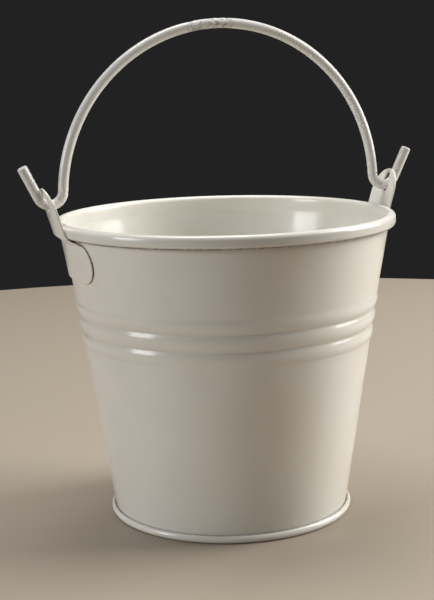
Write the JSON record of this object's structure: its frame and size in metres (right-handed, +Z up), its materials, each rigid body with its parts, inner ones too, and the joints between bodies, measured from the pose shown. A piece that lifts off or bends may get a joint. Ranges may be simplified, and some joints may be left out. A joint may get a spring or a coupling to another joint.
{
  "type": "florist bucket",
  "caption": "Small tapered enamelled sheet-metal florist bucket with rolled rim, ribbed wall, welded ears and a swinging wire bail.",
  "frame": {"origin": "middle of the foot, on the surface the bucket stands on", "axes": "+Z up through the mouth, +X along the bail's hinge axis out through the right ear, +Y to the back, where the side seam is"},
  "size_m": [0.134, 0.11, 0.16],
  "materials": {
    "pail_enamel": "gloss ivory enamel on thin sheet steel",
    "bail_enamel": "gloss ivory enamel on steel wire"
  },
  "bodies": {
    "pail": {"wall": "pail_enamel", "bottom_disc": "pail_enamel", "left_ear": "pail_enamel", "right_ear": "pail_enamel"},
    "bail": {"bail": "bail_enamel"}
  },
  "joints": [
    {"name": "bail_swing", "type": "hinge", "parent": "pail", "child": "bail", "pos_m": [0, 0, 0.1041], "axis": [1, 0, 0], "range_deg": [-94, 94]}
  ]
}
